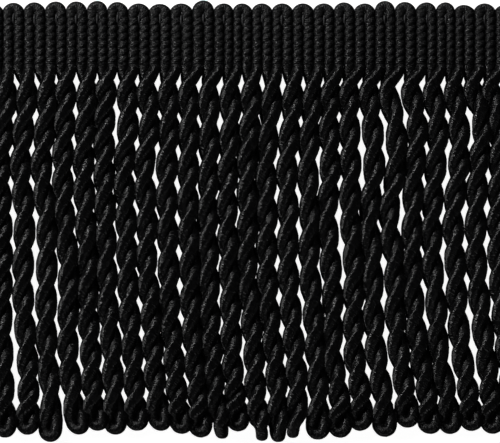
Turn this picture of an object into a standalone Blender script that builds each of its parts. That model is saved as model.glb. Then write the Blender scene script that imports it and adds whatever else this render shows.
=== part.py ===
"""Black bullion fringe: a cord heading with a skirt of twisted cord strands.

Metres, +Z up. The trim lies face up on its flat back, at z = 0. X runs along it, +Y points to
the looped top edge of the heading, and the strands hang towards -Y. One cord makes it all: it
runs up one rib of the heading, turns over in a loop at the top edge, comes down the next rib,
hangs to the end of a strand and comes back up twisted round itself.
"""

import math
from collections import namedtuple

import bmesh
import bpy

MM = 0.001

# Driving dimensions
PITCH = 4.82 * MM
DROP = 101.6 * MM
HEADING_DEPTH = 14.1 * MM
HEADING_THICKNESS = 2.7 * MM
GROOVE_HEIGHT = 1.5 * MM
LOOP_RISE = 1.45 * MM
LOOP_FLANK = 0.7 * MM
PARTING = 0.3 * MM
ROOT_STRIP_DEPTH = 1.2 * MM
ROOT_GROOVE_HEIGHT = 2.1 * MM

# The twisted strand is a bar of lozenge section, whose sharp corners are the crests of its two
# cords. A crest points down once in each turn, and those points are level with the flat back.
CREST_REACH = 2.65 * MM
GROOVE_REACH = 1.45 * MM
TURN_STEPS = (30.0, 90.0, 150.0)
SIDE_REACH = CREST_REACH * math.cos(math.radians(TURN_STEPS[0]))
STRAND_CLEARANCE = 0.34 * MM
NECK_SHARE = 0.62
NECK_HEIGHT = 1.05 * MM

# Where the columns of points stand across one loop of the heading, as shares of its half width
LOOP_COLUMNS = (-1.0, -0.78, -0.5, -0.22, 0.0, 0.22, 0.5, 0.78)
# Rows of points from the flank of a loop to its rim
LOOP_ROWS = (0.0, 0.5, 0.82, 1.0)

# Each loop of the heading, from the left: how far it stands from its even place, and its rise
# above the mean, in millimetres
Loop = namedtuple("Loop", "shift rise")
LOOPS = (
    Loop(-0.65, -0.15),
    Loop(-0.5, 0.0),
    Loop(-0.4, 0.1),
    Loop(-0.1, 0.3),
    Loop(-0.1, 0.3),
    Loop(0.05, 0.45),
    Loop(-0.05, 0.2),
    Loop(0.2, -0.15),
    Loop(0.35, -0.25),
    Loop(0.6, -0.15),
    Loop(1.05, 0.55),
    Loop(1.1, -0.15),
    Loop(0.5, -0.15),
    Loop(0.4, -0.15),
    Loop(0.35, -0.15),
    Loop(0.45, -0.15),
    Loop(0.6, -0.15),
    Loop(0.5, 0.1),
    Loop(0.65, -0.15),
    Loop(0.55, 0.45),
    Loop(0.45, 0.2),
    Loop(0.8, 0.1),
    Loop(0.45, 0.1),
    Loop(-0.1, -0.5),
    Loop(0.05, -0.15),
    Loop(0.2, -0.4),
)

# Each strand, from the left: how far it lies from its even place at its neck, shoulder, middle,
# thigh, ankle and tip, how much longer it is than the mean, in millimetres, and its half turns
Strand = namedtuple("Strand", "neck shoulder middle thigh ankle tip longer half_turns")
STRANDS = (
    Strand(0.2, -1.4, -1.6, -0.9, -1.2, -0.7, 0.7, 11.0),
    Strand(0.3, -1.9, -0.6, -0.8, 0.6, 0.4, 0.0, 11.0),
    Strand(0.3, -0.7, -0.2, 0.0, 0.2, 1.0, 1.7, 11.0),
    Strand(0.1, -0.6, -0.8, -0.1, 0.5, 2.5, 0.0, 11.0),
    Strand(-0.2, -0.6, -0.6, 0.1, 0.6, 2.7, -0.9, 11.5),
    Strand(0.0, -1.0, -1.0, -0.3, 0.7, 1.9, 0.0, 11.0),
    Strand(0.1, -0.1, -1.1, -0.1, 0.7, 2.2, -0.9, 11.0),
    Strand(0.1, -0.1, -0.8, -0.2, 1.1, 2.9, -0.9, 11.5),
    Strand(0.2, -0.2, -0.5, 0.0, 0.9, 3.0, -0.2, 11.0),
    Strand(0.1, -0.3, -0.2, 0.3, 1.0, 2.7, 0.7, 11.0),
    Strand(0.1, -0.5, -0.6, -0.2, 0.6, 2.8, 0.9, 11.5),
    Strand(0.2, -0.1, -0.7, -0.1, 0.8, 2.2, -0.8, 11.0),
    Strand(0.4, -0.2, -0.9, -0.4, 0.8, 2.6, 1.4, 11.5),
    Strand(0.4, -1.0, -1.0, -0.8, 0.4, 2.0, 1.7, 11.5),
    Strand(0.4, -0.8, -0.9, -0.6, 1.2, 0.8, 0.7, 11.5),
    Strand(0.3, -0.7, -0.5, -0.2, 1.1, 1.4, 1.2, 11.0),
    Strand(0.0, -0.4, -1.2, -0.2, 0.5, 2.0, 0.7, 11.0),
    Strand(-0.5, -0.5, -0.5, 0.4, 0.7, 1.9, -0.9, 11.0),
    Strand(-0.6, 0.2, -0.7, 0.0, 0.8, 2.5, 0.5, 11.0),
    Strand(-0.9, 0.5, -0.5, 0.3, 1.7, 3.1, -1.7, 11.0),
    Strand(-0.6, 0.6, -0.2, -0.2, 1.1, 3.9, -0.2, 11.0),
    Strand(-0.3, 1.1, -0.3, 0.1, 1.1, 4.1, -0.2, 11.0),
    Strand(-0.3, 1.0, 0.1, 0.5, 1.6, 4.2, -0.9, 11.0),
    Strand(-0.5, 1.3, 0.1, 0.6, 2.2, 4.6, -0.2, 11.0),
    Strand(-0.5, 1.2, 0.5, 0.7, 2.6, 4.7, -0.2, 11.0),
)
# The share of the skirt's depth at which each of those six places lies
KNOT_DEPTHS = (0.05, 0.22, 0.38, 0.58, 0.76, 1.0)

# How the end of a strand rounds off: the height above its tip, in millimetres, and the share of
# the full section that is left there
TipRing = namedtuple("TipRing", "height share")
TIP_RINGS = (TipRing(2.4, 0.96), TipRing(1.0, 0.88), TipRing(0.25, 0.6), TipRing(0.0, 0.34))
LEAST_RING_STEP = 0.8 * MM

HEADING_BOTTOM = -HEADING_DEPTH
STRIP_TOP = HEADING_BOTTOM - PARTING
STRIP_BOTTOM = STRIP_TOP - ROOT_STRIP_DEPTH
SKIRT_DEPTH = DROP + STRIP_BOTTOM
BEND_Y = -LOOP_RISE


def loop_centre(index):
    even = (index - (len(LOOPS) - 1) / 2) * PITCH
    return even + LOOPS[index].shift * MM


def loop_border(index):
    """The groove between this loop and the next; half a pitch outside the first and last."""
    if index < 0:
        return loop_centre(0) - PITCH / 2
    if index >= len(LOOPS) - 1:
        return loop_centre(len(LOOPS) - 1) + PITCH / 2
    return (loop_centre(index) + loop_centre(index + 1)) / 2


def dome(share, low, high):
    """Height of a round rib, from its groove (share 1) to its crest (share 0)."""
    return low + (high - low) * math.sqrt(max(0.0, 1.0 - share * share))


def heading_column(index, share):
    """The points of one column, from the heading's bottom edge up to the rim of its loop."""
    centre = loop_centre(index)
    border = loop_border(index - 1) if share < 0 else loop_border(index)
    half = abs(border - centre)
    x = centre + share * half
    rise = LOOP_RISE + LOOPS[index].rise * MM
    rim = BEND_Y + rise * math.sqrt(max(0.0, 1.0 - share * share))
    flank = BEND_Y - LOOP_FLANK
    levels = [HEADING_BOTTOM] + [flank + row * (rim - flank) for row in LOOP_ROWS]
    points = []
    for y in levels:
        radius = math.hypot(share, max(0.0, y - BEND_Y) / rise)
        from_crest = abs(radius - 0.5) / 0.5
        points.append((x, y, dome(from_crest, GROOVE_HEIGHT, HEADING_THICKNESS)))
    return points


def heading_columns():
    columns = [heading_column(index, share) for index in range(len(LOOPS)) for share in LOOP_COLUMNS]
    columns.append(heading_column(len(LOOPS) - 1, 1.0))
    return columns


def add_panel(bm, columns):
    """Joins columns of points into a panel with a flat back at z = 0, and returns its verts."""
    front = [[bm.verts.new(point) for point in column] for column in columns]
    back = [[bm.verts.new((v.co.x, v.co.y, 0.0)) for v in (column[0], column[-1])] for column in front]
    for left, right, left_back, right_back in zip(front, front[1:], back, back[1:]):
        for low in range(len(left) - 1):
            bm.faces.new((left[low], right[low], right[low + 1], left[low + 1]))
        bm.faces.new((left_back[0], left_back[1], right_back[1], right_back[0]))
        bm.faces.new((left[-1], right[-1], right_back[1], left_back[1]))
    for column, behind, outward in ((front[0], back[0], False), (front[-1], back[-1], True)):
        side = [behind[0], *column, behind[1]]
        bm.faces.new(side[::-1] if outward else side)
    return front, back


def heading_mesh():
    bm = bmesh.new()
    front, back = add_panel(bm, heading_columns())
    for left, right, left_back, right_back in zip(front, front[1:], back, back[1:]):
        bm.faces.new((left_back[0], right_back[0], right[0], left[0]))
    return bm


def root_columns():
    """Grooves and crests of the root strip, which begins and ends at a loop's middle."""
    columns = []
    for index in range(len(LOOPS)):
        groove = loop_centre(index)
        columns.append((groove, ROOT_GROOVE_HEIGHT))
        if index == len(LOOPS) - 1:
            break
        border = loop_border(index)
        following = loop_centre(index + 1)
        columns.append(((groove + border) / 2, HEADING_THICKNESS))
        columns.append((border, ROOT_GROOVE_HEIGHT))
        columns.append(((border + following) / 2, HEADING_THICKNESS))
    return [[(x, STRIP_BOTTOM, z), (x, STRIP_TOP, z)] for x, z in columns]


def strand_station(index):
    return (index - (len(STRANDS) - 1) / 2) * PITCH


def smooth_curve(knots, places, at):
    """A cubic through the places, whose slope at each knot is that between its neighbours."""
    last = len(knots) - 1
    at = min(max(at, knots[0]), knots[last])
    here = max(i for i in range(last) if knots[i] <= at)
    slopes = []
    for i in (here, here + 1):
        before, after = max(i - 1, 0), min(i + 1, last)
        slopes.append((places[after] - places[before]) / (knots[after] - knots[before]))
    span = knots[here + 1] - knots[here]
    t = (at - knots[here]) / span
    ease = t * t * (3.0 - 2.0 * t)
    bend = slopes[0] * t * (1.0 - t) ** 2 - slopes[1] * t * t * (1.0 - t)
    return places[here] + (places[here + 1] - places[here]) * ease + bend * span


def strand_x(index, depth):
    """The strand's middle at a share of the skirt's depth."""
    places = [loop_border(index) - strand_station(index)]
    places += [place * MM for place in STRANDS[index][: len(KNOT_DEPTHS)]]
    return strand_station(index) + smooth_curve((0.0, *KNOT_DEPTHS), places, depth)


def squeeze(index, depth):
    """How much narrower than a free strand it is here, so that it stays clear of its neighbours."""
    beside = [other for other in (index - 1, index + 1) if 0 <= other < len(STRANDS)]
    here = strand_x(index, depth)
    room = min(abs(strand_x(other, depth) - here) for other in beside)
    return min(1.0, (room - STRAND_CLEARANCE) / (2 * SIDE_REACH))


def lozenge(angle, share):
    """Corners of the section, crest and groove in turn, turned by an angle from lying flat."""
    corners = []
    for quarter, reach in enumerate((CREST_REACH, GROOVE_REACH, CREST_REACH, GROOVE_REACH)):
        turn = math.radians(angle + 90.0 * quarter)
        corners.append((share * reach * math.cos(turn), share * reach * math.sin(turn)))
    return corners


def ring_points(index, y, angle, share):
    """The strand's corners at this height, resting on z = 0 where a crest points down."""
    depth = (STRIP_BOTTOM - y) / SKIRT_DEPTH
    middle = strand_x(index, depth)
    narrow = squeeze(index, depth)
    return [(middle + narrow * across, y, CREST_REACH + up) for across, up in lozenge(angle, share)]


def strand_rings(index):
    """Rings of corners down the strand: three to a half turn, then the rounded end."""
    strand = STRANDS[index]
    tip = -DROP - strand.longer * MM
    per_degree = (STRIP_BOTTOM - tip) / (strand.half_turns * 180.0)
    end_begins = tip + TIP_RINGS[0].height * MM + LEAST_RING_STEP
    rings = []
    for half_turn in range(math.ceil(strand.half_turns)):
        for step in TURN_STEPS:
            angle = half_turn * 180.0 + step
            y = STRIP_BOTTOM - angle * per_degree
            if y > end_begins:
                rings.append(ring_points(index, y, angle, 1.0))
    for ring in TIP_RINGS:
        y = tip + ring.height * MM
        rings.append(ring_points(index, y, (STRIP_BOTTOM - y) / per_degree, ring.share))
    return rings


def add_strand(bm, index, front, back):
    """Grows one strand out of the strip's lower face, from the cell of its two cords.

    Its sides are split into triangles along the diagonals that bulge.
    """
    middle = strand_x(index, 0.0)
    ring = [
        bm.verts.new((middle + across, STRIP_BOTTOM, NECK_HEIGHT + up))
        for across, up in lozenge(0.0, NECK_SHARE)
    ]
    right, top, left, low = ring
    bm.faces.new((*front[::-1], left, top, right))
    bm.faces.new((*back, right, low, left))
    bm.faces.new((back[-1], front[-1], right))
    bm.faces.new((front[0], back[0], left))
    for points in strand_rings(index):
        following = [bm.verts.new(point) for point in points]
        for here in range(4):
            there = (here + 1) % 4
            bm.faces.new((ring[here], ring[there], following[here]))
            bm.faces.new((ring[there], following[there], following[here]))
        ring = following
    bm.faces.new(ring)


def skirt_mesh():
    bm = bmesh.new()
    front, back = add_panel(bm, root_columns())
    columns = (len(front) - 1) // len(STRANDS)
    for index in range(len(STRANDS)):
        cell = slice(index * columns, (index + 1) * columns + 1)
        front_edge = [column[0] for column in front[cell]]
        back_edge = [column[0] for column in back[cell]]
        add_strand(bm, index, front_edge, back_edge)
    return bm


def cord_material(name, colour, roughness):
    material = bpy.data.materials.new(name)
    material.use_nodes = True
    shader = material.node_tree.nodes["Principled BSDF"]
    shader.inputs["Base Color"].default_value = (*colour, 1.0)
    shader.inputs["Roughness"].default_value = roughness
    shader.inputs["Metallic"].default_value = 0.0
    return material


def add_object(name, bm, material):
    bmesh.ops.recalc_face_normals(bm, faces=bm.faces)
    mesh = bpy.data.meshes.new(name)
    bm.to_mesh(mesh)
    bm.free()
    mesh.materials.append(material)
    obj = bpy.data.objects.new(name, mesh)
    bpy.context.scene.collection.objects.link(obj)
    return obj


def centre_on_origin(objects):
    """Stands the middle of the trim's outline over the origin."""
    corners = [vertex.co for obj in objects for vertex in obj.data.vertices]
    for axis in (0, 1):
        low = min(corner[axis] for corner in corners)
        high = max(corner[axis] for corner in corners)
        for obj in objects:
            obj.location[axis] = -(low + high) / 2


def main():
    for obj in list(bpy.data.objects):
        bpy.data.objects.remove(obj, do_unlink=True)
    heading = add_object(
        "heading", heading_mesh(), cord_material("heading_cord", (0.012, 0.012, 0.013), 0.62)
    )
    skirt = add_object(
        "skirt", skirt_mesh(), cord_material("skirt_cord", (0.010, 0.010, 0.011), 0.5)
    )
    centre_on_origin([heading, skirt])


main()
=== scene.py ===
"""The looks of a cut length of black bullion fringe, built around its solids.

Metres. The trim lies face up on the floor: X runs along it, +Y points to the looped top edge of
its heading, and +Z comes out of its face. One silky cord makes it all. It runs up a rib of the
heading, turns over in a loop, comes down the next rib, hangs to the end of a strand and comes back
up twisted round itself. Fine threads bind the ribs on both faces of the heading.
"""

import math
import random
from collections import namedtuple

import bpy
import numpy as np
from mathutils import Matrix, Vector


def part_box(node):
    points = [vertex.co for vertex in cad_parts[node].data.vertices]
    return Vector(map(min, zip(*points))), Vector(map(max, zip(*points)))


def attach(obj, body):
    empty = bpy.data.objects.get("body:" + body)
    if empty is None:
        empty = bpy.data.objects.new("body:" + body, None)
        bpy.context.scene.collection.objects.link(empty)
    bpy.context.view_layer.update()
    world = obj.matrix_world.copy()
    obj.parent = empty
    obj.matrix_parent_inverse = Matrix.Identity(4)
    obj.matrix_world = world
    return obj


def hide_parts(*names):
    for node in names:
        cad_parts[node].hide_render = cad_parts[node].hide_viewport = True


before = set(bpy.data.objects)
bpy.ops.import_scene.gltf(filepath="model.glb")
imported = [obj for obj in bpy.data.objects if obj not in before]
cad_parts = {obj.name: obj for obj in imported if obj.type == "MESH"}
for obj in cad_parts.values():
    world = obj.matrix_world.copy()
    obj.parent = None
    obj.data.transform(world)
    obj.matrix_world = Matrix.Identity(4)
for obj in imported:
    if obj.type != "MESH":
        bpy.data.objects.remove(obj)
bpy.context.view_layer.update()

MM = 0.001
CM_PER_M = 100.0
BODY = "root"
SEED = 7

# Sizes shared with the solids
PITCH = 4.82 * MM
DROP = 101.6 * MM
HEADING_DEPTH = 14.1 * MM
LOOP_RISE = 1.45 * MM
PARTING = 0.3 * MM
ROOT_STRIP_DEPTH = 1.2 * MM
STRIP_BOTTOM = -HEADING_DEPTH - PARTING - ROOT_STRIP_DEPTH
SKIRT_DEPTH = DROP + STRIP_BOTTOM
BEND_Y = -LOOP_RISE

# Each loop of the heading, from the left: how far it stands from its even place, and its rise
# above the mean, in millimetres
Loop = namedtuple("Loop", "shift rise")
LOOPS = (
    Loop(-0.65, -0.15),
    Loop(-0.5, 0.0),
    Loop(-0.4, 0.1),
    Loop(-0.1, 0.3),
    Loop(-0.1, 0.3),
    Loop(0.05, 0.45),
    Loop(-0.05, 0.2),
    Loop(0.2, -0.15),
    Loop(0.35, -0.25),
    Loop(0.6, -0.15),
    Loop(1.05, 0.55),
    Loop(1.1, -0.15),
    Loop(0.5, -0.15),
    Loop(0.4, -0.15),
    Loop(0.35, -0.15),
    Loop(0.45, -0.15),
    Loop(0.6, -0.15),
    Loop(0.5, 0.1),
    Loop(0.65, -0.15),
    Loop(0.55, 0.45),
    Loop(0.45, 0.2),
    Loop(0.8, 0.1),
    Loop(0.45, 0.1),
    Loop(-0.1, -0.5),
    Loop(0.05, -0.15),
    Loop(0.2, -0.4),
)

# Each strand, from the left: how far it lies from its even place at nine heights, and how much
# longer it is than the mean, in millimetres. Then its half turns, and how many it is ahead of an
# even twist in its upper part, its lower part and its foot.
Strand = namedtuple("Strand", "places longer half_turns upper lower foot")
STRANDS = (
    Strand((0.49, -0.30, -1.15, -0.75, -0.70, -0.80, -0.60, -0.20, -0.10), 1.0, 11.19, -0.20, 0.13, -0.10),
    Strand((0.54, -0.30, -1.15, -0.15, -0.55, -0.40, 0.50, 0.77, 0.31), 0.3, 11.19, -0.17, -0.34, -0.39),
    Strand((0.48, 0.00, -1.08, 0.27, 0.28, 0.08, 0.29, 1.16, 0.99), 2.0, 10.19, 0.18, 0.30, 0.22),
    Strand((-0.15, -0.45, -0.80, -0.50, 0.55, 0.52, 0.47, 1.60, 3.15), 0.3, 11.19, 0.24, 0.15, 0.10),
    Strand((0.25, -0.22, -0.75, -0.26, 0.26, 0.29, 0.96, 1.58, 2.90), -0.6, 11.19, -0.05, -0.32, -0.18),
    Strand((-0.27, -0.62, -0.67, -0.43, -0.16, 0.22, 1.17, 1.52, 2.00), 0.3, 11.19, 0.52, 0.32, 0.13),
    Strand((-0.04, 0.18, -0.82, -0.35, -0.02, 0.38, 1.20, 1.81, 2.36), -0.6, 11.19, 0.07, -0.03, -0.18),
    Strand((-0.29, 0.58, -0.92, -0.14, -0.33, 0.76, 1.24, 2.11, 3.31), -0.6, 11.19, -0.07, -0.15, 0.06),
    Strand((0.00, 0.32, -0.37, -0.29, 0.07, 0.29, 1.22, 2.14, 3.37), 0.1, 11.19, -0.17, -0.49, -0.35),
    Strand((-0.11, 0.13, -0.08, -0.12, 0.33, 0.59, 1.26, 2.28, 2.84), 1.0, 11.19, -0.26, -0.40, -0.43),
    Strand((-0.04, 0.03, -0.02, -0.35, -0.12, 0.14, 0.72, 1.54, 3.11), 1.2, 10.55, -0.32, -0.45, -0.20),
    Strand((0.25, 0.28, -0.43, -0.62, -0.10, 0.27, 0.50, 1.40, 2.13), -0.5, 11.19, -0.45, -0.65, -0.66),
    Strand((0.43, 0.03, -0.72, -0.47, -0.75, 0.12, 0.97, 1.43, 2.84), 1.7, 11.5, -0.10, -0.30, -0.24),
    Strand((0.50, -0.34, -1.07, -0.83, -0.89, -0.37, 0.82, 1.79, 1.76), 2.0, 10.4, -0.28, -0.20, -0.02),
    Strand((0.67, 0.00, -0.95, -0.62, -0.74, 0.01, 0.90, 1.53, 0.44), 1.0, 10.5, -0.12, -0.23, -0.02),
    Strand((0.51, -0.16, -0.84, -0.26, -0.48, 0.46, 1.09, 1.70, 1.58), 1.5, 10.19, -0.13, -0.18, 0.03),
    Strand((-0.09, -0.66, -0.24, -1.12, -0.26, 0.33, 0.07, 1.84, 1.98), 1.0, 11.19, -0.13, -0.29, -0.45),
    Strand((-0.64, -0.65, -0.35, -0.42, 0.39, 0.39, 0.48, 2.06, 1.80), -0.6, 11.19, -0.10, -0.23, -0.30),
    Strand((-0.82, -0.09, 0.40, -0.77, 0.02, 0.13, 0.87, 2.44, 2.99), 0.8, 10.19, 0.17, -0.21, -0.16),
    Strand((-1.27, 0.62, 0.76, -1.03, 0.41, 0.53, 1.47, 3.07, 3.69), -1.4, 10.19, -0.20, -0.26, -0.30),
    Strand((-0.55, 0.95, 0.26, -0.18, -0.28, 0.17, 1.38, 3.34, 4.10), 0.1, 11.19, 0.00, -0.44, -0.41),
    Strand((-0.33, 1.00, 0.39, -0.49, -0.40, 0.68, 1.11, 3.19, 3.97), 0.1, 10.19, 0.13, 0.09, -0.08),
    Strand((-0.11, 1.12, 1.16, -0.29, 0.28, 0.74, 1.75, 3.49, 4.37), -0.6, 11.19, -0.05, -0.31, -0.45),
    Strand((-0.45, 1.98, 0.84, 0.26, 0.34, 1.37, 2.65, 3.81, 4.40), 0.1, 11.19, 0.13, -0.32, -0.44),
    Strand((-1.00, 0.75, 1.00, 0.65, 0.83, 1.58, 2.65, 3.85, 4.00), 0.1, 11.19, 0.03, 0.04, -0.15),
)
# The share of the skirt's depth at which each of those nine places lies, and the share of the
# twist at which each of those leads is read
KNOT_DEPTHS = (0.05, 0.15, 0.27, 0.4, 0.53, 0.66, 0.78, 0.9, 1.0)
LEAD_SHARES = (0.0, 0.3, 0.65, 0.9, 1.0)

# The cord in a strand: the other cord presses its inner side flat
TWIST_RADIUS = 0.92 * MM
CORD_OUTWARD = 1.73 * MM
CORD_ROUND = 1.68 * MM
INNER_SQUARENESS = 3.2
ROOT_SQUARENESS = 2.2
OUTER_SQUARENESS = 2.4
STRAND_UNEVENNESS = 0.012

# The strand: where its cord leaves the heading, rises to the height of the strand's axis and
# begins to twist, and how softly the twist begins and ends
STRAND_AXIS_Z = 2.65 * MM
STRAND_START = -13.9 * MM
LIFT_START = -14.2 * MM
LIFT_END = -20.0 * MM
TURN_START = -15.1 * MM
TURN_EASE = 0.9 * MM

# The cord where it turns back at the end of a strand: its face is rounded towards the eye of
# the loop, and under that it is pressed together, so that the eye is closed; the left-hand leg
# lies over the eye. The face is where a ring looks up by at least the last number.
BEND_RADIUS = 1.75 * MM
BEND_OUTWARD = 1.38 * MM
BEND_INWARD = 1.2 * MM
COVER_INWARD = 1.75 * MM
BEND_ROUND = 1.45 * MM
BEND_SQUARENESS = 2.0
OPENING_REACH = 5.0 * MM
UNTWISTED_REACH = 0.6 * MM
FACING_UP = 0.05

# Where cords press each other: what they overlap by, how much a strand's two cords are squeezed,
# and the share of the bend down to which neighbours press
CONTACT_OVERLAP = 0.02 * MM
PRESSED = 0.06 * MM
PRESSED_BEND = 0.9
LEAST_DISTANCE = 0.1 * MM

# The bundles of filaments that are wound round the cord, and the length in which they go round
# it once: the cord of the heading is wound the other way
BUNDLE_WIDTH = 0.38 * MM
BUNDLE_RELIEF = 0.03
SKIRT_WIND = 3.0 * MM
HEADING_WIND = -1.5 * MM

# The slow swellings of every cord: their length in millimetres and their share
SWELLINGS = ((23.0, 1.0), (9.7, 0.8), (4.1, 0.5))
LARGEST_PHASE = 6.3

# How finely the cord is built
PATH_STEP = 0.1 * MM
RING_STEP = 0.36 * MM
CORD_SIDES = 20
BEND_ANGLES = np.radians(np.arange(0.0, 181.0, 3.0))
LOOP_ANGLES = np.radians(np.arange(180.0, -1.0, -4.0))

# The cord in the heading: its threads draw in its front and leave its flat back as it is
RIB_MIDDLE_Z = 1.4 * MM
RIB_HALF_HEIGHT = 1.3 * MM
RIB_RING_STEP = 0.2 * MM
RIB_SIDES = 14
RIB_END = -14.45 * MM
RIB_LEAN = 0.45
RIB_FILL = 1.03
RIB_SQUARENESS = 2.5
RIB_UNEVENNESS = 0.006
RIB_FRONT_ONSET = 3.0
ROOT_FILL = 1.06

# Its loops: where the ribs begin to fan out, the point that they turn round, and how much higher
# they stand than the solid's
FAN_START = -4.2 * MM
LOOP_PIVOT_DROP = 0.62 * MM
LOOP_PIVOT_SIZE = 0.1 * MM
LOOP_PIVOT_SPREAD = 0.02
LOOP_PROUD = 0.2 * MM

# The rows of fine threads that cross the ribs, which bulge between them like beads
ROW_COUNT = 7
FIRST_ROW = -3.47 * MM
ROW_PITCH = 1.81 * MM
PINCH_DEPTH = 0.45
BEAD_ROUNDNESS = 0.96
FIRST_BEAD_TOP = FIRST_ROW + 0.5 * ROW_PITCH
FREE_RIB_START = FIRST_ROW + 0.9 * ROW_PITCH
LAST_BEAD = FIRST_ROW - (ROW_COUNT - 0.5) * ROW_PITCH
THREAD_RADIUS = 0.09 * MM
THREAD_SIDES = 5
FACE_OFFSETS = (0.17 * MM, -0.17 * MM)
FACE_ANGLES = (172, 150, 125, 100, 80, 55, 30, 8)
FACE_STAND = 0.6

# How far they slant over a rib and wander from it, in millimetres
FACE_SLANT = 0.12
FACE_WANDER = 0.04

# The threads on the back: two along each row, and one to and fro between the rows. How far they
# wander, their height over the middle of a rib, and their rise towards its sides are in millimetres.
BACK_OFFSETS = (0.16 * MM, -0.16 * MM)
BACK_SHARES = (-0.9, -0.45, 0.0, 0.45)
BACK_WANDER = 0.05
BACK_HEIGHT = 0.15
BACK_RISE = 0.22
BACK_RADIUS = 0.13 * MM
ZIGZAG_SHARE = 0.5
ZIGZAG_Z = 0.12 * MM
ZIGZAG_RADIUS = 0.1 * MM

# The upright stitch under each loop, and how far it may wander in millimetres
STITCH_TOP = -2.3 * MM
STITCH_BOTTOM = -5.0 * MM
STITCH_WANDER = 0.15
STITCH_TOP_WANDER = 0.2
STITCH_BOTTOM_WANDER = 0.3
STITCH_Z = 1.25 * MM
STITCH_RISE = 1.05 * MM
STITCH_FLATNESS = 0.4
STITCH_RADIUS = 0.2 * MM
STITCH_SIDES = 8
STITCH_POINTS = 9

# The looks of a cord: its colour, how its filaments are wound, the depth of its grain, its
# specular level, and how far its gloss is stretched across the filaments
CordLook = namedtuple("CordLook", "colour wind relief gloss stretch")
SKIRT_LOOK = CordLook((0.003, 0.003, 0.0032), SKIRT_WIND, 0.26 * MM, 0.5, 1.0)
# The heading's cord is the same cord as the skirt's, but its colour is twice as light: a painted lift that
# stands in for the light on the grey bodies of its beads
HEADING_LOOK = CordLook((0.006, 0.006, 0.0064), HEADING_WIND, 0.28 * MM, 0.48, 0.3)

# The grain of a cord: its streaks, and the ridges of its filaments between them. Then the range
# of grain that is read, and the shade or roughness that its ends stand for
STREAK_DETAIL = 1.0
STREAKS_PER_CM = 28.0
STREAKS_PER_TURN = 9.0
RIDGE_SHARE = 0.12
SHADE_RANGE = (0.3, 0.7, 0.3, 2.2)
ROUGHNESS_RANGE = (0.42, 0.58, 0.62, 0.22)
CORD_SHEEN = 0.16
CORD_SHEEN_ROUGHNESS = 0.25
CORD_SHEEN_TINT = (0.6, 0.6, 0.62, 1.0)

# The binding threads
THREAD_WIND = 1.0 * MM
THREAD_STREAKS_PER_CM = 60.0
THREAD_STREAKS_PER_TURN = 2.5
THREAD_RELIEF = 0.03 * MM
# A grey far lighter than the cord's black: painted highlight, so that the thin threads read as lit lines
# across the ribs
THREAD_PAINTED_LIT_COLOUR = (0.05, 0.05, 0.052, 1.0)
THREAD_ROUGHNESS = 0.5
THREAD_SHEEN = 0.2

# The floor: it is bright of itself, so that it is as white as the photo's, and lights nothing
FLOOR_REACH = 3.0
FLOOR_Z = -0.05 * MM
FLOOR_COLOUR = (0.8, 0.8, 0.8, 1.0)
FLOOR_ROUGHNESS = 0.9
FLOOR_GLOW = 0.95

# The lights, which all face the trim: place and size in metres, power in watts
Light = namedtuple("Light", "name place width height power")
LIGHTS = (
    Light("key", (-0.6, 0.52, 0.5), 1.1, 0.1, 6.0),
    Light("top", (0.1, 0.85, 0.3), 0.6, 0.1, 0.3),
    Light("low", (-0.1, -0.85, 0.2), 0.8, 0.2, 0.8),
    Light("fill", (0.3, -0.3, 0.9), 0.5, 0.5, 0.05),
)
STUDIO_COLOUR = (0.9, 0.92, 1.0, 1.0)
STUDIO_STRENGTH = 0.02

# The heading's left end, and the height from which the heights above are measured
HEADING_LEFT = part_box("heading")[0].x
DESIGN_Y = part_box("heading")[0].y + HEADING_DEPTH

# The photo's frame
FRAME_WIDTH = 118.0 * MM
FRAME_MIDDLE_Y = -51.5 * MM
LENS = 200.0
SENSOR = 36.0
CLIP_START = 0.01


def loop_centre(index):
    even = (index - (len(LOOPS) - 1) / 2) * PITCH
    return even + LOOPS[index].shift * MM


def loop_border(index):
    """The groove between this loop and the next; half a pitch outside the first and last."""
    if index < 0:
        return loop_centre(0) - PITCH / 2
    if index >= len(LOOPS) - 1:
        return loop_centre(len(LOOPS) - 1) + PITCH / 2
    return (loop_centre(index) + loop_centre(index + 1)) / 2


def design_middle():
    """X of the design's middle line: the heading ends half a pitch outside its first loop."""
    return HEADING_LEFT - (loop_centre(0) - PITCH / 2)


def strand_station(index):
    """The strand's even place."""
    return (index - (len(STRANDS) - 1) / 2) * PITCH


def smooth_curve(knots, places, at):
    """A cubic through the places, whose slope at each knot is that between its neighbours."""
    knots, places = np.array(knots), np.array(places)
    last = len(knots) - 1
    at = np.clip(at, knots[0], knots[last])
    here = np.clip(np.searchsorted(knots, at, side="right") - 1, 0, last - 1)
    before = np.maximum(np.arange(last + 1) - 1, 0)
    after = np.minimum(np.arange(last + 1) + 1, last)
    slopes = (places[after] - places[before]) / (knots[after] - knots[before])
    span = knots[here + 1] - knots[here]
    t = (at - knots[here]) / span
    ease = t * t * (3.0 - 2.0 * t)
    bend = slopes[here] * t * (1.0 - t) ** 2 - slopes[here + 1] * t * t * (1.0 - t)
    return places[here] + (places[here + 1] - places[here]) * ease + bend * span


def eased(value, start, end):
    """0 at the start, 1 at the end, with a smooth S between them."""
    share = np.clip((value - start) / (end - start), 0.0, 1.0)
    return share * share * (3.0 - 2.0 * share)


def strand_x(index, y):
    """The strand's middle at a height y."""
    places = [loop_border(index) - strand_station(index)]
    places += [place * MM for place in STRANDS[index].places]
    depth = (STRIP_BOTTOM - y) / SKIRT_DEPTH
    return strand_station(index) + smooth_curve((0.0, *KNOT_DEPTHS), places, depth)


def strand_tip(index):
    return -DROP - STRANDS[index].longer * MM


def bend_centre(index):
    """The height about which the cord turns back at the end of its strand."""
    return strand_tip(index) + BEND_RADIUS + BEND_OUTWARD


def softened(fall):
    """The fall itself where it is above zero, with a smooth bend at zero."""
    bend = (fall + TURN_EASE) ** 2 / (4.0 * TURN_EASE)
    return np.where(fall < -TURN_EASE, 0.0, np.where(fall < TURN_EASE, bend, fall))


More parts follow.
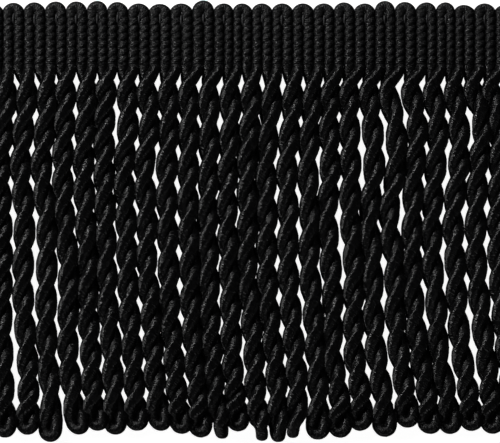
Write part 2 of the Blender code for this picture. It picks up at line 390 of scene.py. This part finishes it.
def strand_turn(index, y):
    """The angle of the right-hand cord round the strand: 0 is to the right, then to the front.
    It turns from the root strip to the bend at the end."""
    strand, end = STRANDS[index], bend_centre(index) + UNTWISTED_REACH
    share = (softened(TURN_START - y) - softened(end - y)) / (TURN_START - end)
    lead = smooth_curve(LEAD_SHARES, (0.0, strand.upper, strand.lower, strand.foot, 0.0), share)
    return math.pi * (strand.half_turns * share + lead)


def along_strand(index, y, at_root, twisted, at_bend):
    """A size that changes from the strand's root to its twisted length and to its end."""
    low = bend_centre(index)
    at_root = at_root + (twisted - at_root) * eased(y, LIFT_START, LIFT_END)
    return at_root + (at_bend - twisted) * eased(y, low + OPENING_REACH, low)


def strand_spread(index, y):
    """How far the cord's middle is from the strand's axis, down to the turn at its end."""
    at_root = (loop_centre(index + 1) - loop_centre(index)) / 4.0
    free = along_strand(index, y, at_root, TWIST_RADIUS, BEND_RADIUS)
    below = np.maximum(bend_centre(index) - y, 0.0)
    return np.where(below > 0.0, np.sqrt(np.maximum(BEND_RADIUS**2 - below**2, 0.0)), free)


def strand_height(index, y):
    """The height of the strand's axis, which sinks where its end lies flat."""
    flat = math.cos(math.pi * STRANDS[index].half_turns) ** 2
    end = STRAND_AXIS_Z + (BEND_ROUND - STRAND_AXIS_Z) * flat
    return along_strand(index, y, RIB_MIDDLE_Z, STRAND_AXIS_Z, end)


def cord_middle(index, side, y):
    """X and Z of the strand's right-hand (side 1) or left-hand (side -1) cord at a height."""
    turn, spread = strand_turn(index, y), side * strand_spread(index, y)
    height = strand_height(index, y) + spread * np.sin(turn)
    return np.stack([strand_x(index, y) + spread * np.cos(turn), height], -1)


def neighbours(index, side):
    """The cords that a cord may press against."""
    found = [(index, -side)]
    for other in (index - 1, index + 1):
        if 0 <= other < len(STRANDS):
            found += [(other, 1), (other, -1)]
    return found


def press(points, index, side):
    """Flattens a cord where it meets its neighbours, half way between their middles."""
    y = points[:, 1]
    own = cord_middle(index, side, y)
    for other, other_side in neighbours(index, side):
        towards = cord_middle(other, other_side, y) - own
        distance = np.maximum(np.linalg.norm(towards, axis=1), LEAST_DISTANCE)
        unit = towards / distance[:, None]
        beyond = ((points[:, (0, 2)] - own) * unit).sum(1) - distance / 2.0 - CONTACT_OVERLAP
        lowest = max(bend_centre(other), bend_centre(index)) - PRESSED_BEND * BEND_RADIUS
        beyond = np.where(y > lowest, np.maximum(beyond, 0.0), 0.0)
        points[:, 0] -= unit[:, 0] * beyond
        points[:, 2] -= unit[:, 1] * beyond
    points[:, 2] = np.maximum(points[:, 2], 0.0)
    return points


# Tubes
Tube = namedtuple("Tube", "rings along")


def lengths_along(path):
    return np.concatenate([[0.0], np.cumsum(np.linalg.norm(np.diff(path, axis=0), axis=1))])


def resample(path, step):
    """Places along the path at even steps, as the index into it, with a fraction."""
    along = lengths_along(path)
    count = max(2, int(round(along[-1] / step)) + 1)
    return np.interp(np.linspace(0.0, along[-1], count), along, np.arange(len(path)))


def pick(values, at):
    """Values read at fractional indices, column by column."""
    places = np.arange(len(values))
    return np.stack([np.interp(at, places, column) for column in values.T], -1)


def unit_rows(vectors):
    return vectors / np.linalg.norm(vectors, axis=1)[:, None]


def ring_angles(sides):
    """Angles round a section, from the side that faces inwards."""
    return math.pi + np.arange(sides) * 2.0 * math.pi / sides


def bundled(along, sides, wind, chance):
    """How far the bundles stand out, about 1, ring by ring and round each ring."""
    count = int((along[-1] + abs(wind)) / BUNDLE_WIDTH) + 3
    heights = [1.0 + BUNDLE_RELIEF * chance.uniform(-1.0, 1.0) for _ in range(count)]
    across = along[:, None] + wind * np.arange(sides) / sides + max(0.0, -wind)
    return np.interp(across / BUNDLE_WIDTH, np.arange(count), heights)


def squarish(angles, inner, outer):
    """Cosines and sines of a section whose inner and outer halves are squarer than an ellipse."""
    cosines, sines = np.cos(angles), np.sin(angles)
    power = 2.0 / np.where(cosines < 0.0, inner, outer)
    return np.sign(cosines) * np.abs(cosines) ** power, np.sign(sines) * np.abs(sines) ** power


def sweep(path, outward, reach_out, reach_in, reach_face, reach_round, squareness, relief):
    """Rings round a path: reach_out along outward, reach_in against it, or reach_face where the
    ring faces upwards, and reach_round across it. The squareness is that of the inner half."""
    sides = relief.shape[1]
    tangents = unit_rows(np.gradient(path, axis=0))
    outward = unit_rows(outward - tangents * (outward * tangents).sum(1)[:, None])
    across = np.cross(tangents, outward)
    cosines, sines = squarish(ring_angles(sides), squareness[:, None], OUTER_SQUARENESS)
    cosines, sines = cosines * np.where(cosines < 0.0, 1.0, relief), sines * relief
    upward = sines * across[:, 2:] > FACING_UP
    inner = np.where(upward, reach_face[:, None], reach_in[:, None])
    out = np.where(cosines < 0.0, inner, reach_out[:, None]) * cosines
    along_side = reach_round[:, None] * sines
    rings = path[:, None] + out[..., None] * outward[:, None]
    return rings + along_side[..., None] * across[:, None]


def thread(path, radius, hint, sides=THREAD_SIDES):
    """A round thread along a path that never runs along the hint."""
    path = np.array(path)
    tangents = unit_rows(np.gradient(path, axis=0))
    beside = unit_rows(np.cross(tangents, np.array(hint, float)))
    above = np.cross(tangents, beside)
    angles = ring_angles(sides)
    across = radius * np.cos(angles)[None, :, None] * beside[:, None]
    upward = radius * np.sin(angles)[None, :, None] * above[:, None]
    return Tube(path[:, None] + across + upward, lengths_along(path))


def tube_faces(tube, first):
    """Quads between the rings and a face over each end, with their places in the cord's map."""
    count, sides = tube.rings.shape[:2]
    ring = first + np.arange(count - 1)[:, None] * sides
    here, there = np.arange(sides), (np.arange(sides) + 1) % sides
    quads = np.stack([ring + here, ring + there, ring + sides + there, ring + sides + here], -1)
    along = tube.along * CM_PER_M
    low = np.broadcast_to(along[:-1, None], (count - 1, sides))
    high = np.broadcast_to(along[1:, None], (count - 1, sides))
    left = np.broadcast_to(here / sides, (count - 1, sides))
    right = left + 1.0 / sides
    places = np.stack([low, left, low, right, high, right, high, left], -1).reshape(-1, 2)
    start_cap = [int(first + i) for i in here[::-1]]
    end_cap = [int(first + (count - 1) * sides + i) for i in here]
    caps = np.array([[along[0], i / sides] for i in here] + [[along[-1], i / sides] for i in here])
    return quads.reshape(-1, 4).tolist(), [start_cap, end_cap], places, caps


def add_piece(name, tubes, material, node):
    """One object of closed tubes, which stands for a node of the frame."""
    points, quads, caps, quad_places, cap_places = [], [], [], [], []
    first = 0
    for tube in tubes:
        tube_quads, tube_caps, places, ends = tube_faces(tube, first)
        points.append(tube.rings.reshape(-1, 3))
        quads += tube_quads
        caps += tube_caps
        quad_places.append(places)
        cap_places.append(ends)
        first += points[-1].shape[0]
    vertices = np.concatenate(points) + (design_middle(), DESIGN_Y, 0.0)
    places = np.concatenate(quad_places + cap_places).astype(np.float32)
    mesh = bpy.data.meshes.new(name)
    mesh.from_pydata(vertices.tolist(), [], quads + caps)
    layer = mesh.uv_layers.new(name="cord")
    layer.uv.foreach_set("vector", places.ravel())
    mesh.shade_smooth()
    mesh.materials.append(material)
    piece = bpy.data.objects.new(name, mesh)
    bpy.context.scene.collection.objects.link(piece)
    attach(piece, BODY)
    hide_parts(node)
    return piece


# Strands
def strand_path(index):
    """The cord's middle line down one side of a strand, round its end and up the other side,
    with the direction that faces away from the strand's axis."""
    centre = bend_centre(index)
    falls = np.arange(STRAND_START, centre, -PATH_STEP)
    straight, level = np.ones(len(falls)), np.zeros(len(falls))
    y = np.concatenate([falls, centre - BEND_RADIUS * np.sin(BEND_ANGLES), falls[::-1]])
    cosines = np.concatenate([straight, np.cos(BEND_ANGLES), -straight])
    sines = np.concatenate([level, np.sin(BEND_ANGLES), level])
    side = np.where(cosines >= 0.0, 1.0, -1.0)
    middle = cord_middle(index, side, y)
    turn = strand_turn(index, y)
    path = np.stack([middle[:, 0], y, middle[:, 1]], -1)
    outward = np.stack([cosines * np.cos(turn), -sines, cosines * np.sin(turn)], -1)
    return path, outward, side


def uneven(along, chance, size):
    """Slight swelling and thinning along a cord, about 1."""
    waves = sum(
        share * np.sin(along / (length * MM) * 2.0 * math.pi + chance.uniform(0.0, LARGEST_PHASE))
        for length, share in SWELLINGS
    )
    return 1.0 + size * waves


def strand_tube(index, chance):
    path, outward, side = strand_path(index)
    at = resample(path, RING_STEP)
    path, outward = pick(path, at), pick(outward, at)
    side = np.where(np.interp(at, np.arange(len(side)), side) >= 0.0, 1.0, -1.0)
    along = lengths_along(path)
    y = path[:, 1]
    root_out = (loop_centre(index + 1) - loop_centre(index)) / 4.0 * ROOT_FILL
    root_round = RIB_HALF_HEIGHT * np.where(y > LAST_BEAD, pinch(y), 1.0)
    plump = uneven(along, chance, STRAND_UNEVENNESS)
    reach_out = along_strand(index, y, root_out, CORD_OUTWARD, BEND_OUTWARD) * plump
    reach_in = along_strand(index, y, root_out, TWIST_RADIUS + PRESSED, BEND_RADIUS + PRESSED)
    leftness = 0.5 - 0.5 * outward[:, 0]
    at_eye = BEND_INWARD + (COVER_INWARD - BEND_INWARD) * leftness
    reach_face = along_strand(index, y, root_out, TWIST_RADIUS + PRESSED, at_eye)
    reach_round = along_strand(index, y, root_round, CORD_ROUND, BEND_ROUND) * plump
    squareness = along_strand(index, y, ROOT_SQUARENESS, INNER_SQUARENESS, BEND_SQUARENESS)
    relief = bundled(along, CORD_SIDES, SKIRT_WIND, chance)
    rings = sweep(path, outward, reach_out, reach_in, reach_face, reach_round, squareness, relief)
    flat = rings.reshape(-1, 3)
    sides = np.repeat(side, CORD_SIDES)
    for one in (1.0, -1.0):
        mine = sides == one
        flat[mine] = press(flat[mine], index, one)
    return Tube(flat.reshape(rings.shape), along)


# Heading
def row_height(row):
    return FIRST_ROW - row * ROW_PITCH


def pinch(y):
    """The share of its free size that a rib keeps at a height: it bulges between its threads."""
    row = (FIRST_ROW - y) / ROW_PITCH
    off = 2.0 * (row - np.floor(row)) - 1.0
    bulge = np.sqrt(1.0 - BEAD_ROUNDNESS * off * off)
    above = eased(y, FIRST_BEAD_TOP, FREE_RIB_START)
    return 1.0 - PINCH_DEPTH * (1.0 - bulge) * (1.0 - above)


def arc_height(half, rise, share):
    """The height of an arc over a chord, at a share of the half chord from its middle."""
    radius = (half * half + rise * rise) / (2.0 * rise)
    return math.sqrt(radius**2 - (share * half) ** 2) - (radius - rise)


def loop_outline(index):
    """Outer and inner points of the loop's cord, up its left rib, over and down its right rib."""
    centre = loop_centre(index)
    rise = LOOP_RISE + LOOP_PROUD + LOOPS[index].rise * MM
    legs = np.arange(RIB_END, BEND_Y, PATH_STEP)
    pivot = BEND_Y - LOOP_PIVOT_DROP
    fan = np.clip((legs - FAN_START) / (BEND_Y - FAN_START), 0.0, 1.0)
    fanned = FAN_START + (pivot - LOOP_PIVOT_SIZE - FAN_START) * fan
    inner_legs = np.where(legs < FAN_START, legs, fanned)
    outer, inner = [], []
    left, right = loop_border(index - 1), loop_border(index)
    outer += [(left, y) for y in legs]
    inner += [(centre, y) for y in inner_legs]
    for angle in LOOP_ANGLES:
        cosine, low = math.cos(angle), 1 - math.sin(angle)
        half = (right - centre) if cosine > 0 else (centre - left)
        outer.append((centre + half * cosine, BEND_Y + arc_height(half, rise, cosine)))
        inner.append((centre + LOOP_PIVOT_SPREAD * half * cosine, pivot - LOOP_PIVOT_SIZE * low))
    outer += [(right, y) for y in legs[::-1]]
    inner += [(centre, y) for y in inner_legs[::-1]]
    return np.array(outer), np.array(inner)


def loop_tube(index, chance):
    outer, inner = loop_outline(index)
    middle = (outer + inner) / 2.0
    at = resample(middle, RIB_RING_STEP)
    outer, inner, middle = pick(outer, at), pick(inner, at), pick(middle, at)
    along = lengths_along(middle)
    half = (outer - inner) / 2.0 * RIB_FILL * uneven(along, chance, RIB_UNEVENNESS)[:, None]
    cosines, sines = squarish(ring_angles(RIB_SIDES), RIB_SQUARENESS, RIB_SQUARENESS)
    front = np.clip(sines * RIB_FRONT_ONSET, 0.0, 1.0)
    drawn_in = pinch(middle[:, 1:] - RIB_LEAN * half[:, :1] * cosines)
    drawn_in = drawn_in * bundled(along, RIB_SIDES, HEADING_WIND, chance)
    sideways = (1.0 - front * (1.0 - drawn_in)) * cosines
    flat = middle[:, None] + half[:, None] * sideways[..., None]
    up = RIB_MIDDLE_Z + RIB_HALF_HEIGHT * drawn_in * sines
    return Tube(np.concatenate([flat, up[..., None]], -1), along)


def rib_places():
    """Middle and half width of each rib, from the left."""
    places = []
    for index in range(len(LOOPS)):
        left, centre, right = loop_border(index - 1), loop_centre(index), loop_border(index)
        places.append(((left + centre) / 2.0, (centre - left) / 2.0))
        places.append(((centre + right) / 2.0, (right - centre) / 2.0))
    return places


def face_thread(row, offset, chance):
    """A thread that crosses the face of every rib and dips between them."""
    points = []
    keep = 1.0 - PINCH_DEPTH
    stand = FACE_STAND * THREAD_RADIUS
    for middle, half in rib_places():
        slant = chance.uniform(0.0, FACE_SLANT) * MM
        level = row_height(row) + offset + chance.uniform(-FACE_WANDER, FACE_WANDER) * MM
        for degrees in FACE_ANGLES:
            angle = math.radians(degrees)
            x = middle + (half * keep + stand) * math.cos(angle)
            z = RIB_MIDDLE_Z + (RIB_HALF_HEIGHT * keep + stand) * math.sin(angle)
            points.append((x, level + slant * math.cos(angle), z))
    return thread(points, THREAD_RADIUS, (0.0, 1.0, 0.0))


def face_threads(chance):
    """Two threads in each row, which pinch the ribs between them."""
    return [face_thread(row, offset, chance) for row in range(ROW_COUNT) for offset in FACE_OFFSETS]


def back_thread(row, offset, chance):
    """A thread that runs along the back, pressed into the ribs where it crosses them."""
    points = []
    for middle, half in rib_places():
        for share in BACK_SHARES:
            level = row_height(row) + offset + chance.uniform(-BACK_WANDER, BACK_WANDER) * MM
            height = BACK_HEIGHT + BACK_RISE * share * share
            points.append((middle + share * half, level, height * MM))
    return thread(points, BACK_RADIUS, (0.0, 1.0, 0.0))


def back_zigzag(row):
    """A thread that runs to and fro across the back between two rows."""
    points = []
    for count, (middle, half) in enumerate(rib_places()):
        level = row_height(row + count % 2)
        points.append((middle - ZIGZAG_SHARE * half, level, ZIGZAG_Z))
        points.append((middle + ZIGZAG_SHARE * half, level, ZIGZAG_Z))
    return thread(points, ZIGZAG_RADIUS, (0.0, 0.0, 1.0))


def back_threads(chance):
    """Two threads in each row, and one that runs to and fro between each row and the next."""
    tubes = [back_thread(row, offset, chance) for row in range(ROW_COUNT) for offset in BACK_OFFSETS]
    return tubes + [back_zigzag(row) for row in range(ROW_COUNT - 1)]


def loop_stitches(chance):
    """The short upright stitch in the groove under each loop."""
    tubes = []
    for index in range(len(LOOPS)):
        x = loop_centre(index) + chance.uniform(-STITCH_WANDER, STITCH_WANDER) * MM
        top = STITCH_TOP + chance.uniform(-STITCH_TOP_WANDER, STITCH_TOP_WANDER) * MM
        bottom = STITCH_BOTTOM + chance.uniform(-STITCH_BOTTOM_WANDER, STITCH_BOTTOM_WANDER) * MM
        points = []
        for share in np.linspace(0.0, 1.0, STITCH_POINTS):
            y = top + (bottom - top) * share
            z = STITCH_Z + STITCH_RISE * math.sin(math.pi * share) ** STITCH_FLATNESS
            points.append((x, y, z))
        tubes.append(thread(points, STITCH_RADIUS, (1.0, 0.0, 0.0), STITCH_SIDES))
    return tubes


# Materials
def new_material(name):
    material = bpy.data.materials.new(name)
    material.use_nodes = True
    return material, material.node_tree, material.node_tree.nodes["Principled BSDF"]


def add_node(tree, kind, **settings):
    node = tree.nodes.new(kind)
    for key, value in settings.items():
        setattr(node, key, value)
    return node


def calculate(tree, operation, first, second=None):
    """A Math node: each of its inputs is a socket or a number."""
    node = add_node(tree, "ShaderNodeMath", operation=operation)
    for socket, value in zip(node.inputs, (first, second)):
        if value is None:
            continue
        if isinstance(value, (int, float)):
            socket.default_value = value
        else:
            tree.links.new(value, socket)
    return node.outputs["Value"]


def cord_places(tree, wind):
    """Length along the cord in centimetres, shifted round it so that it is even along a
    filament, which winds round the cord once in that length; and the share round it."""
    places = add_node(tree, "ShaderNodeUVMap", uv_map="cord")
    split = add_node(tree, "ShaderNodeSeparateXYZ")
    tree.links.new(places.outputs["UV"], split.inputs["Vector"])
    along, around = split.outputs["X"], split.outputs["Y"]
    shift = calculate(tree, "MULTIPLY", around, CM_PER_M * wind)
    return calculate(tree, "ADD", along, shift), around


def streaks(tree, across, around, per_cm, per_turn):
    """Uneven streaks along the filaments."""
    spot = add_node(tree, "ShaderNodeCombineXYZ")
    tree.links.new(calculate(tree, "MULTIPLY", across, per_cm), spot.inputs["X"])
    tree.links.new(calculate(tree, "MULTIPLY", around, per_turn), spot.inputs["Y"])
    noise = add_node(tree, "ShaderNodeTexNoise")
    noise.inputs["Scale"].default_value = 1.0
    noise.inputs["Detail"].default_value = STREAK_DETAIL
    tree.links.new(spot.outputs["Vector"], noise.inputs["Vector"])
    return noise.outputs["Fac"]


def remap(tree, value, low, high, to_low, to_high):
    """Turns the range from low to high into the range from to_low to to_high."""
    node = add_node(tree, "ShaderNodeMapRange")
    node.inputs["From Min"].default_value = low
    node.inputs["From Max"].default_value = high
    node.inputs["To Min"].default_value = to_low
    node.inputs["To Max"].default_value = to_high
    tree.links.new(value, node.inputs["Value"])
    return node.outputs["Result"]


def cord_material(name, look):
    material, tree, shader = new_material(name)
    across, around = cord_places(tree, look.wind)
    grain = streaks(tree, across, around, STREAKS_PER_CM, STREAKS_PER_TURN)
    phase = calculate(tree, "MULTIPLY", across, 2.0 * math.pi * STREAKS_PER_CM)
    ridges = calculate(tree, "SINE", phase)
    height = calculate(tree, "ADD", calculate(tree, "MULTIPLY", ridges, RIDGE_SHARE), grain)
    bump = add_node(tree, "ShaderNodeBump")
    bump.inputs["Strength"].default_value = 1.0
    bump.inputs["Distance"].default_value = look.relief
    tree.links.new(height, bump.inputs["Height"])
    tree.links.new(bump.outputs["Normal"], shader.inputs["Normal"])

    shade = add_node(tree, "ShaderNodeVectorMath", operation="SCALE")
    shade.inputs[0].default_value = look.colour
    tree.links.new(remap(tree, grain, *SHADE_RANGE), shade.inputs["Scale"])
    tree.links.new(shade.outputs["Vector"], shader.inputs["Base Color"])
    tree.links.new(remap(tree, grain, *ROUGHNESS_RANGE), shader.inputs["Roughness"])

    shader.inputs["Specular IOR Level"].default_value = look.gloss
    shader.inputs["Anisotropic"].default_value = look.stretch
    shader.inputs["Sheen Weight"].default_value = CORD_SHEEN
    shader.inputs["Sheen Roughness"].default_value = CORD_SHEEN_ROUGHNESS
    shader.inputs["Sheen Tint"].default_value = CORD_SHEEN_TINT
    tangent = add_node(tree, "ShaderNodeTangent", direction_type="UV_MAP", uv_map="cord")
    tree.links.new(tangent.outputs["Tangent"], shader.inputs["Tangent"])
    return material


def thread_material():
    material, tree, shader = new_material("binding_thread")
    across, around = cord_places(tree, THREAD_WIND)
    grain = streaks(tree, across, around, THREAD_STREAKS_PER_CM, THREAD_STREAKS_PER_TURN)
    bump = add_node(tree, "ShaderNodeBump")
    bump.inputs["Distance"].default_value = THREAD_RELIEF
    tree.links.new(grain, bump.inputs["Height"])
    tree.links.new(bump.outputs["Normal"], shader.inputs["Normal"])
    # Painted highlight: the threads' grey stands in for the light that they catch
    shader.inputs["Base Color"].default_value = THREAD_PAINTED_LIT_COLOUR
    shader.inputs["Roughness"].default_value = THREAD_ROUGHNESS
    shader.inputs["Sheen Weight"].default_value = THREAD_SHEEN
    return material


# Stage
def floor_material():
    material, _, shader = new_material("floor_white")
    shader.inputs["Base Color"].default_value = FLOOR_COLOUR
    shader.inputs["Roughness"].default_value = FLOOR_ROUGHNESS
    shader.inputs["Emission Color"].default_value = (1.0, 1.0, 1.0, 1.0)
    shader.inputs["Emission Strength"].default_value = FLOOR_GLOW
    return material


def white_floor():
    mesh = bpy.data.meshes.new("floor")
    signs = ((-1, -1), (1, -1), (1, 1), (-1, 1))
    corners = [(x * FLOOR_REACH, y * FLOOR_REACH, FLOOR_Z) for x, y in signs]
    mesh.from_pydata(corners, [], [(0, 1, 2, 3)])
    mesh.materials.append(floor_material())
    floor = bpy.data.objects.new("floor", mesh)
    bpy.context.scene.collection.objects.link(floor)
    floor.visible_diffuse = False
    floor.visible_glossy = False


def soft_light(light):
    data = bpy.data.lights.new(light.name, "AREA")
    data.shape = "RECTANGLE"
    data.size = light.width
    data.size_y = light.height
    data.energy = light.power
    lamp = bpy.data.objects.new(light.name, data)
    lamp.location = light.place
    lamp.rotation_euler = (-Vector(light.place)).to_track_quat("-Z", "Y").to_euler()
    bpy.context.scene.collection.objects.link(lamp)


def studio():
    for light in LIGHTS:
        soft_light(light)
    world = bpy.data.worlds.new("studio")
    world.use_nodes = True
    background = world.node_tree.nodes["Background"]
    background.inputs["Color"].default_value = STUDIO_COLOUR
    background.inputs["Strength"].default_value = STUDIO_STRENGTH
    bpy.context.scene.world = world


def camera():
    data = bpy.data.cameras.new("camera")
    data.lens = LENS
    data.sensor_width = SENSOR
    data.clip_start = CLIP_START
    distance = FRAME_WIDTH * LENS / SENSOR
    eye = bpy.data.objects.new("camera", data)
    eye.location = (design_middle(), DESIGN_Y + FRAME_MIDDLE_Y, STRAND_AXIS_Z + distance)
    bpy.context.scene.collection.objects.link(eye)
    bpy.context.scene.camera = eye


def main():
    chance = random.Random(SEED)
    skirt_cord = cord_material("skirt_cord", SKIRT_LOOK)
    # Its colour is twice the skirt's: painted light on the heading's beads
    heading_cord = cord_material("heading_cord", HEADING_LOOK)
    binding = thread_material()
    for index in range(len(STRANDS)):
        strand = [strand_tube(index, chance)]
        add_piece(f"strand_{index + 1:02d}", strand, skirt_cord, "skirt")
    loops = [loop_tube(index, chance) for index in range(len(LOOPS))]
    add_piece("heading_cord", loops, heading_cord, "heading")
    add_piece("face_threads", face_threads(chance), binding, "heading")
    add_piece("back_threads", back_threads(chance), binding, "heading")
    add_piece("loop_stitches", loop_stitches(chance), binding, "heading")
    white_floor()
    studio()
    camera()
    bpy.context.scene.view_settings.view_transform = "Standard"


main()
